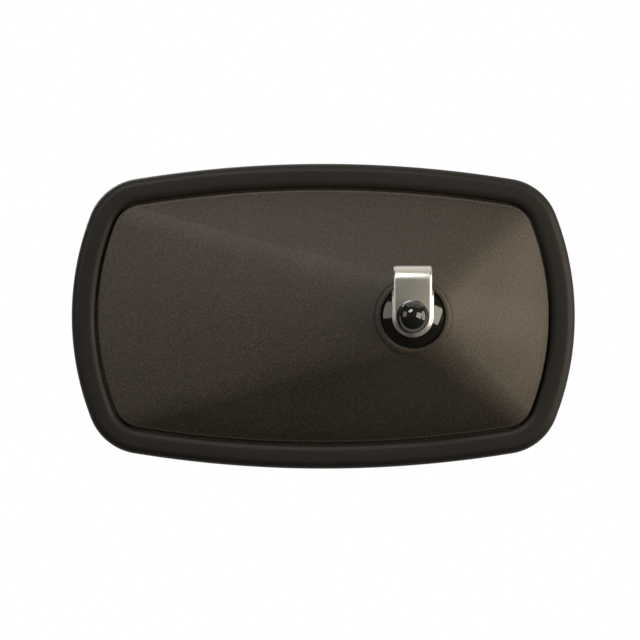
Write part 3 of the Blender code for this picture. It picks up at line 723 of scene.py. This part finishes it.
class MIRROR_OT_ball(bpy.types.Operator):
    """Turn the ball's dome and neck"""
    bl_idname = "mirror_part.ball"
    bl_label = "Ball"

    def execute(self, context):
        j = joint()
        inner = j.dome_r - j.dome_wall
        fillet, chamfer, seat_r = 2.4 * MM, 0.6 * MM, 9 * MM
        dome_width = (DOME_HIGH.x - DOME_LOW.x) / 2
        rim = math.degrees(math.atan2(dome_width, height_of(DOME_HIGH.y)))
        reach = math.degrees(math.asin(min(1.0, dome_width / j.dome_r)))
        base = math.sqrt((j.dome_r + fillet) ** 2 - (j.neck_r + fillet) ** 2)
        start = math.degrees(math.atan2(j.neck_r + fillet, base))
        profile = [(j.hole_r, NECK_TOP)]
        profile += arc((j.neck_r - chamfer, NECK_TOP - chamfer), chamfer, 90, 0, 5)
        profile += arc((j.neck_r + fillet, base), fillet, 180, 270 - start, 8)[:-1]
        profile += on_sphere(j.dome_r, start, reach, 40)
        seat = math.degrees(math.asin(seat_r / inner))
        profile += on_sphere(inner, min(rim, reach), seat, 24)
        profile.append((j.hole_r, inner * math.cos(math.radians(seat))))
        finish_piece("ball_dome", turned(profile, DOME_SIDES), "ball", ["swivel_dome"],
                     "gloss_black_plastic")
        return {"FINISHED"}


class MIRROR_OT_cap(bpy.types.Operator):
    """Turn the cap over the nut"""
    bl_idname = "mirror_part.cap"
    bl_label = "Nut cap"

    def execute(self, context):
        r, edge = (CAP_HIGH.x - CAP_LOW.x) / 2, 0.5 * MM
        centre, inner = CAP_TOP - r, r - joint().cap_wall
        profile = [(0, CAP_TOP)] + [(x, centre + y) for x, y in on_sphere(r, 3, 90, 28)]
        profile += arc((r - edge, CAP_BASE + edge), edge, 0, -90, 5)
        profile += [(inner, CAP_BASE)]
        profile += [(x, centre + y) for x, y in on_sphere(inner, 90, 4, 14)]
        profile.append((0, centre + inner))
        finish_piece("cap", turned(profile, closed=False), "ball", ["nut_cap"],
                     "gloss_black_plastic")
        return {"FINISHED"}


def strap_stations(j):
    """(v, h, facing, half width) along the folded bar, from the outer leg's round end."""
    middle, half = LOOP_R - j.strap / 2, j.strap_width / 2
    loop_v, loop_h = -BALL.z, STRAP_FACE - LOOP_R
    front = STRAP_FACE - j.strap / 2
    back = NECK_TOP + 2 * j.gap + WASHER + j.strap / 2
    stations = [(half * y, front, 0.0, half * x) for x, y in arc((0, 0), 1.0, -87, 0, 29)]
    stations += [(loop_v * i / 6, front, 0.0, half) for i in range(1, 6)]
    turn_r = j.return_bend + j.strap / 2
    drop = back - turn_r - loop_h
    turn_v = loop_v - math.sqrt((middle + turn_r) ** 2 - drop ** 2)
    leave = 2 * math.pi + math.atan2(turn_v - loop_v, drop)
    for i in range(LOOP_STEPS + 1):
        angle = leave * i / LOOP_STEPS
        share = max(0.0, (i / LOOP_STEPS - WIDEN_FROM) / (1 - WIDEN_FROM))
        share *= share * (3 - 2 * share)
        stations.append((loop_v + middle * math.sin(angle), loop_h + middle * math.cos(angle),
                         angle, half + (j.pad_r - half) * share))
    for i in range(1, BEND_STEPS + 1):
        angle = leave - (leave - math.pi) * i / BEND_STEPS
        stations.append((turn_v - turn_r * math.sin(angle), back - turn_r - turn_r * math.cos(angle),
                         angle, j.pad_r))
    stations += [(turn_v * (1 - i / 3), back, math.pi, j.pad_r) for i in (1, 2)]
    return stations + [(-j.pad_r * y, back, math.pi, j.pad_r * x)
                       for x, y in arc((0, 0), 1.0, 0, 87, 29)]


def rounded_bar(half, thickness, reach, steps=14):
    """(across, outwards) points round a flat bar whose rolled edges are half ellipses."""
    reach = min(reach, half * ROUND_LIMIT)
    section = []
    for side, start in ((1, 90), (-1, -90)):
        for x, y in arc((0, 0), 1.0, start, start - 180, steps):
            section.append((side * (half - reach) + x * reach, y * thickness / 2))
    return section


class MIRROR_OT_strap(bpy.types.Operator):
    """Bend the flat bar round the rod and bore it for the bolt"""
    bl_idname = "mirror_part.strap"
    bl_label = "Strap clamp"

    def execute(self, context):
        j = joint()
        above, below = 3 * MM, 2 * MM
        rows = []
        for v, h, facing, half in strap_stations(j):
            rows.append([(across, v + math.sin(facing) * out, h + math.cos(facing) * out)
                         for across, out in rounded_bar(half, j.strap, j.strap_round)])
        drill = [(0, STRAP_FACE + above), (j.hole_r, STRAP_FACE + above),
                 (j.hole_r, NECK_TOP - below), (0, NECK_TOP - below)]
        bar = loose("strap_blank", new_mesh("strap", skin(rows)))
        bore = loose("strap_bore", new_mesh("strap_bore", turned(drill, FINE, closed=False)))
        cut = bar.modifiers.new("bore", "BOOLEAN")
        cut.object, cut.operation = bore, "DIFFERENCE"
        finish_piece("strap_clamp", evaluated(bar, cut, [bore]), "clamp", ["clamp_strap"],
                     "brushed_steel")
        return {"FINISHED"}


# ---------------------------------------------------------------- fasteners

def polygon_radius(flats, sides, rounding=1.0):
    """Radius of a regular polygon by its width across flats, its corners cut by rounding."""
    half = math.pi / sides

    def radius_of(angle):
        turn = (angle + half) % (2 * half) - half
        return min(flats / 2 / math.cos(turn), flats / 2 / math.cos(half) * rounding)
    return radius_of


def threaded(radius, pitch, high, low, per_turn=8, steps=FINE):
    """Rows of a helical thread from high down to low, fading in and out at its ends."""
    count = max(2, round((high - low) / pitch * per_turn))
    rows = []
    for i in range(count + 1):
        height = high + (low - high) * i / count
        fade = THREAD_DEPTH * pitch * min(1.0, 6 * i / count, 6 * (count - i) / count)

        def radius_of(angle, height=height, fade=fade):
            phase = (height / pitch - angle / (2 * math.pi)) % 1
            return radius - fade * (1 - abs(2 * phase - 1))
        rows.append(polar(height, radius_of, steps))
    return rows


def measured(name):
    """A round CAD node's radius and its lowest and highest heights."""
    low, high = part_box(name)
    return (high.x - low.x) / 2, height_of(high.y), height_of(low.y)


class MIRROR_OT_bolt(bpy.types.Operator):
    """Thread the coach bolt above its square neck"""
    bl_idname = "mirror_part.bolt"
    bl_label = "Coach bolt"

    def execute(self, context):
        j = joint()
        head_r, end, tip = measured("coach_bolt")
        bevel, head_bevel, brim, rounding = 0.6 * MM, 0.2 * MM, 0.8 * MM, 0.93
        neck, shank, runout = 3.2 * MM, 3.6 * MM, 0.5 * MM
        seat = end + j.bolt_head
        square = polygon_radius(2 * j.bolt_r, 4, rounding)
        rows = [[(0, 0, tip)], circle(j.bolt_r - bevel, tip)]
        rows += threaded(j.bolt_r, j.bolt_pitch, tip - bevel, STRAP_FACE - runout)
        rows += [circle(j.bolt_r, seat + shank), polar(seat + neck, square), polar(seat, square)]
        rows += [circle(head_r - head_bevel, seat), circle(head_r, seat - head_bevel)]
        edge = seat - brim
        rows += [circle(head_r * x, edge - (edge - end) * y) for x, y in arc((0, 0), 1.0, 4, 86, 10)]
        rows.append([(0, 0, end)])
        finish_piece("bolt", skin(rows), "ball", ["coach_bolt"], "zinc_steel", THREAD_SMOOTH)
        return {"FINISHED"}


class MIRROR_OT_washers(bpy.types.Operator):
    """Turn the washers and the spacer between the strap's legs"""
    bl_idname = "mirror_part.washers"
    bl_label = "Washers"

    def execute(self, context):
        hole, r, burr = joint().hole_r, 0.25 * MM, 0.1 * MM
        for name in ("neck_washer", "leg_spacer", "flat_washer"):
            outer, base, top = measured(name)
            profile = arc((outer - r, top - r), r, 90, 0, 4)
            profile += arc((outer - r, base + r), r, 0, -90, 4)
            profile += [(hole + burr, base), (hole, base + burr), (hole, top - burr),
                        (hole + burr, top)]
            finish_piece("turned_" + name, turned(profile), "ball", [name], "zinc_steel")
        return {"FINISHED"}


def repeated(name, piece_bm, tree, values, nodes):
    """Pieces repeated by a tree, as one plain mesh on the mirror's head."""
    piece = loose(name + "_piece", new_mesh(name + "_piece", piece_bm))
    base = loose(name + "_base", bpy.data.meshes.new(name + "_base"))
    values = {"Piece": piece, "Finish": finish("zinc_steel"), **values}
    finish_piece(name, grown(base, tree, values, piece), "mirror_head", nodes, "zinc_steel")


class MIRROR_OT_screws(bpy.types.Operator):
    """Thread one retainer screw and repeat it on the four posts"""
    bl_idname = "mirror_part.screws"
    bl_label = "Retainer screws"

    def execute(self, context):
        j, steps = joint(), SCREW_SIDES
        names = [f"retainer_screw_{i}" for i in (1, 2, 3, 4)]
        low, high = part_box(names[0])
        spacing = 2 * abs((low.x + high.x) / 2 - BALL.x)
        head_r, end, tip = measured(names[0])
        under = end + j.screw_head
        end, tip = end - under, tip - under
        point, lead, runout = 1.2 * MM, 1.4 * MM, 1 * MM
        floor, tip_share, rim_share = end + 0.6 * j.screw_head, 0.5, 0.62
        rows = [[(0, 0, tip)], circle(j.screw_r * tip_share, tip - point, steps)]
        rows += threaded(j.screw_r, j.screw_pitch, tip - lead, runout, 6, steps)
        rows += [circle(j.screw_r, 0, steps), circle(head_r, 0, steps)]
        rows += [circle(head_r * x, end * y, steps) for x, y in arc((0, 0), 1.0, 0, 62, 7)]
        socket = polygon_radius(j.screw_socket, 6)
        rows += [circle(j.screw_socket * rim_share, end, steps), polar(end, socket, steps),
                 polar(floor, socket, steps), [(0, 0, floor)]]
        tree = repeat_tree("screws_on_posts", {"Spacing": "Float"}, square_points)
        repeated("retainer_screws", skin(rows), tree,
                 {"Spacing": spacing, "Height": under, "Flip": 0.0}, names)
        return {"FINISHED"}


class MIRROR_OT_springs(bpy.types.Operator):
    """Press one disc spring and stack it in turn"""
    bl_idname = "mirror_part.springs"
    bl_label = "Disc springs"

    def execute(self, context):
        j, r = joint(), 0.2 * MM
        names = [f"disc_spring_{i}" for i in (1, 2, 3)]
        outer, base, top = measured(names[0])
        pitch = measured(names[1])[1] - base
        half, inner, outer = (top - base) / 2, j.spring_bore + r, outer - r
        profile = []
        for x, y, turn in ((inner, half - r, 180), (outer, half - j.spring_dish - r, 90),
                           (outer, r - half, 0), (inner, j.spring_dish - half + r, -90)):
            profile += arc((x, y), r, turn, turn - 90, 3)
        tree = repeat_tree("stacked_springs", {"Count": "Int", "Pitch": "Float"}, stacked_points)
        repeated("disc_springs", turned(profile), tree,
                 {"Count": len(names), "Pitch": pitch, "Height": (base + top) / 2,
                  "Flip": math.pi}, names)
        return {"FINISHED"}


# ---------------------------------------------------------------- carried-over nodes

CARRIED = {
    "zinc_steel": ("lock_washer", "clamp_nut", "retainer_plate"),
    "nylon": ("friction_ring", "pressure_cup"),
    "foam_rubber": ("pane_gasket",),
}


class MIRROR_OT_carried(bpy.types.Operator):
    """Give the pieces that keep their CAD shape their finish"""
    bl_idname = "mirror_part.carried"
    bl_label = "Inner pieces"

    def execute(self, context):
        for slot, names in CARRIED.items():
            for name in names:
                slots = frame["nodes"][name].data.materials
                slots.clear()
                slots.append(finish(slot))
        return {"FINISHED"}


# ---------------------------------------------------------------- stage

FLOOR_SIDES = 256
FLOOR_BRIGHT_R = 0.5                 # metres from under the mirror within which the painted pool of light is brightest
FLOOR_EVEN_R = 5.0
# glow of the floor's painted pool of light, near the mirror and far off
FLOOR_POOL_GLOW = (0.92, 0.74)
FLOOR_FADE = 0.5                     # metres ahead of the rod where it starts to lend light
FLOOR_BOUNCE = 0.35                  # share of its light that reaches matt surfaces

SENSOR = 36                          # mm
AIM_OFFSET = Vector((-2.165, 0, -2.46)) * MM
BEIGE, WARM, WHITE = (1.0, 0.91, 0.76), (1.0, 0.94, 0.86), (1.0, 1.0, 1.0)
# Name, direction (right, up, towards the camera), metres away, its long side's direction,
# width and height, watts and tint.
LIGHTS = (
    ("right_softbox", (0.71, 0.09, 0.70), 1.8, (0.396, -0.211, -0.352), (1.24, 1.12), 32.0, BEIGE),
    ("side_softbox", (0.99, 0.06, 0.13), 1.8, (0.13, 0.0, -0.99), (0.9, 1.5), 22.0, BEIGE),
    ("left_softbox", (-0.83, 0.21, 0.51), 1.8, (0.5, 0.06, 0.75), (0.9, 1.0), 7.2, WARM),
    ("key_strip", (-0.25, 0.61, 0.75), 2.0, (0.42, 0.24, -0.06), (0.9, 0.56), 22.0, WHITE),
    ("overhead_softbox", (0.1, 0.97, -0.2), 1.5, (1.0, -0.1, 0.0), (2.2, 1.8), 11.0, WARM),
    ("front_softbox", (-0.45, 0.5, -0.74), 2.2, (0.86, 0.0, -0.5), (1.3, 0.9), 34.0, WHITE),
)


def soft_light(name, direction, distance, across, size, power, tint):
    """A rectangular light seen from the ball; the table above says what its values are."""
    aim = Vector((0.0, BALL.y - STRAP_FACE, BALL.z))
    toward = Vector((direction[0], -direction[2], direction[1])).normalized()
    side = Vector((across[0], -across[2], across[1]))
    side = (side - toward * side.dot(toward)).normalized()
    data = bpy.data.lights.new(name, "AREA")
    data.shape, data.size, data.size_y = "RECTANGLE", size[0], size[1]
    data.energy, data.color = power, tint
    lamp = loose(name, data)
    lamp.matrix_world = Matrix.Translation(aim + toward * distance) @ Matrix(
        (side, toward.cross(side), toward)).transposed().to_4x4()
    lamp.visible_camera = False


def one_of(tree, choice, a, b, output):
    """Shader a or b by a mask, at the material's or the world's output."""
    mix = node(tree, "ShaderNodeMixShader", _0=choice, _1=a[0], _2=b[0])
    tree.links.new(mix[0], tree.nodes.new(output).inputs["Surface"])


def floor_material():
    """Glows instead of being lit, with a painted pool of light palest near the mirror; it lends
    little light to the mirror's back.
    """
    made = bpy.data.materials.new("glowing_floor_painted_pool")
    made.use_nodes = True
    tree = made.node_tree
    tree.nodes.clear()
    place = node(tree, "ShaderNodeTexCoord")["Object"]
    reach = node(tree, "ShaderNodeVectorMath", {"operation": "LENGTH"}, _0=place)
    # painted pool of light: the floor's glow fades from under the mirror outwards
    pale = remap(tree, reach["Value"], FLOOR_BRIGHT_R, FLOOR_EVEN_R, *FLOOR_POOL_GLOW)
    parts = node(tree, "ShaderNodeSeparateXYZ", Vector=place)
    ahead = remap(tree, parts["Y"], 0.0, FLOOR_FADE)
    path = node(tree, "ShaderNodeLightPath")
    bounced = remap(tree, path["Is Diffuse Ray"], 0.0, 1.0, 1.0, FLOOR_BOUNCE)
    lent = maths(tree, "MAXIMUM", times(tree, ahead, bounced), path["Is Camera Ray"])
    # the floor glows instead of taking the lamps' light, so its brightness is painted light
    glow = node(tree, "ShaderNodeEmission", Color=(1, 1, 0.99, 1), Strength=times(tree, pale, lent))
    under = node(tree, "ShaderNodeNewGeometry")["Backfacing"]
    one_of(tree, under, glow, node(tree, "ShaderNodeBsdfTransparent"),
           "ShaderNodeOutputMaterial")
    return made


def make_floor(context):
    stage = context.scene.mirror_stage
    bm = bmesh.new()
    bmesh.ops.create_circle(bm, cap_ends=True, segments=FLOOR_SIDES, radius=stage.floor_reach)
    mesh = new_mesh("floor", bm)
    if mesh.polygons[0].normal.z < 0:
        mesh.flip_normals()
    mesh.transform(Matrix.Translation((0, 0, BALL.z - stage.floor_drop)))
    mesh.materials.append(floor_material())
    loose("floor", mesh)


def make_world(context):
    """White behind the mirror; what it reflects is dim at its back and pale at its face."""
    world = bpy.data.worlds.new("studio")
    context.scene.world = world
    world.use_nodes = True
    tree = world.node_tree
    tree.nodes.clear()
    place = node(tree, "ShaderNodeTexCoord")["Generated"]
    parts = node(tree, "ShaderNodeSeparateXYZ", Vector=place)
    tone = (0.50, 0.49, 0.47, 1)
    for start, end, there in ((-0.25, 0.05, (0.97, 0.97, 0.96, 1)),
                              (0.3, 0.9, (0.62, 0.65, 0.70, 1))):
        tone = mix_colours(tree, remap(tree, parts["Z"], start, end), tone, there)
    tone = mix_colours(tree, remap(tree, parts["Y"], 0.2, 0.85), (0.025, 0.024, 0.022, 1), tone)
    light = node(tree, "ShaderNodeBackground", Color=tone)
    white = node(tree, "ShaderNodeBackground", Color=(1, 1, 1, 1))
    path = node(tree, "ShaderNodeLightPath")["Is Camera Ray"]
    one_of(tree, path, light, white, "ShaderNodeOutputWorld")


def make_camera(context):
    stage = context.scene.mirror_stage
    data = bpy.data.cameras.new("camera")
    data.lens, data.sensor_width = stage.lens, SENSOR
    distance = stage.frame_width * stage.lens / SENSOR
    camera = loose("camera", data)
    turn = Matrix.Rotation(math.radians(stage.camera_turn), 4, "Z")
    camera.matrix_world = Matrix.Translation(MIDDLE + AIM_OFFSET) @ turn @ Matrix.Translation(
        (0, -distance, 0)) @ Matrix.Rotation(math.radians(90), 4, "X")
    data.clip_start, data.clip_end = 0.1, 3 * distance
    context.scene.camera = camera


class MIRROR_OT_stage(bpy.types.Operator):
    """Floor, studio lights and camera"""
    bl_idname = "mirror_part.stage"
    bl_label = "Stage"

    def execute(self, context):
        make_floor(context)
        make_world(context)
        make_camera(context)
        for light in LIGHTS:
            soft_light(*light)
        context.scene.view_settings.view_transform = "Standard"
        return {"FINISHED"}


OPERATORS = (MIRROR_OT_rim, MIRROR_OT_housing, MIRROR_OT_pane, MIRROR_OT_ball, MIRROR_OT_cap,
             MIRROR_OT_strap, MIRROR_OT_bolt, MIRROR_OT_washers, MIRROR_OT_screws,
             MIRROR_OT_springs, MIRROR_OT_carried, MIRROR_OT_stage)


class VIEW3D_PT_mirror(bpy.types.Panel):
    """Lists the mirror's pieces in the sidebar"""
    bl_label = "Convex Mirror"
    bl_idname = "VIEW3D_PT_mirror"
    bl_space_type = "VIEW_3D"
    bl_region_type = "UI"
    bl_category = "Mirror"

    def draw(self, context):
        column = self.layout.column()
        for operator in OPERATORS:
            column.operator(operator.bl_idname)
        for group in (context.scene.mirror_sizes, context.scene.mirror_joint,
                      context.scene.mirror_finishes, context.scene.mirror_stage):
            for name in group.__annotations__:
                column.prop(group, name)


GROUPS = {"mirror_sizes": MirrorSizes, "mirror_joint": JointSizes,
          "mirror_finishes": MirrorFinishes, "mirror_stage": StageSettings}


def register():
    for name, group in GROUPS.items():
        bpy.utils.register_class(group)
        setattr(bpy.types.Scene, name, PointerProperty(type=group))
    for operator in OPERATORS:
        bpy.utils.register_class(operator)
    bpy.utils.register_class(VIEW3D_PT_mirror)


def unregister():
    bpy.utils.unregister_class(VIEW3D_PT_mirror)
    for operator in reversed(OPERATORS):
        bpy.utils.unregister_class(operator)
    for name, group in GROUPS.items():
        delattr(bpy.types.Scene, name)
        bpy.utils.unregister_class(group)


def main():
    register()
    for operator in OPERATORS:
        group, name = operator.bl_idname.split(".")
        getattr(getattr(bpy.ops, group), name)()


if __name__ == "__main__":
    main()
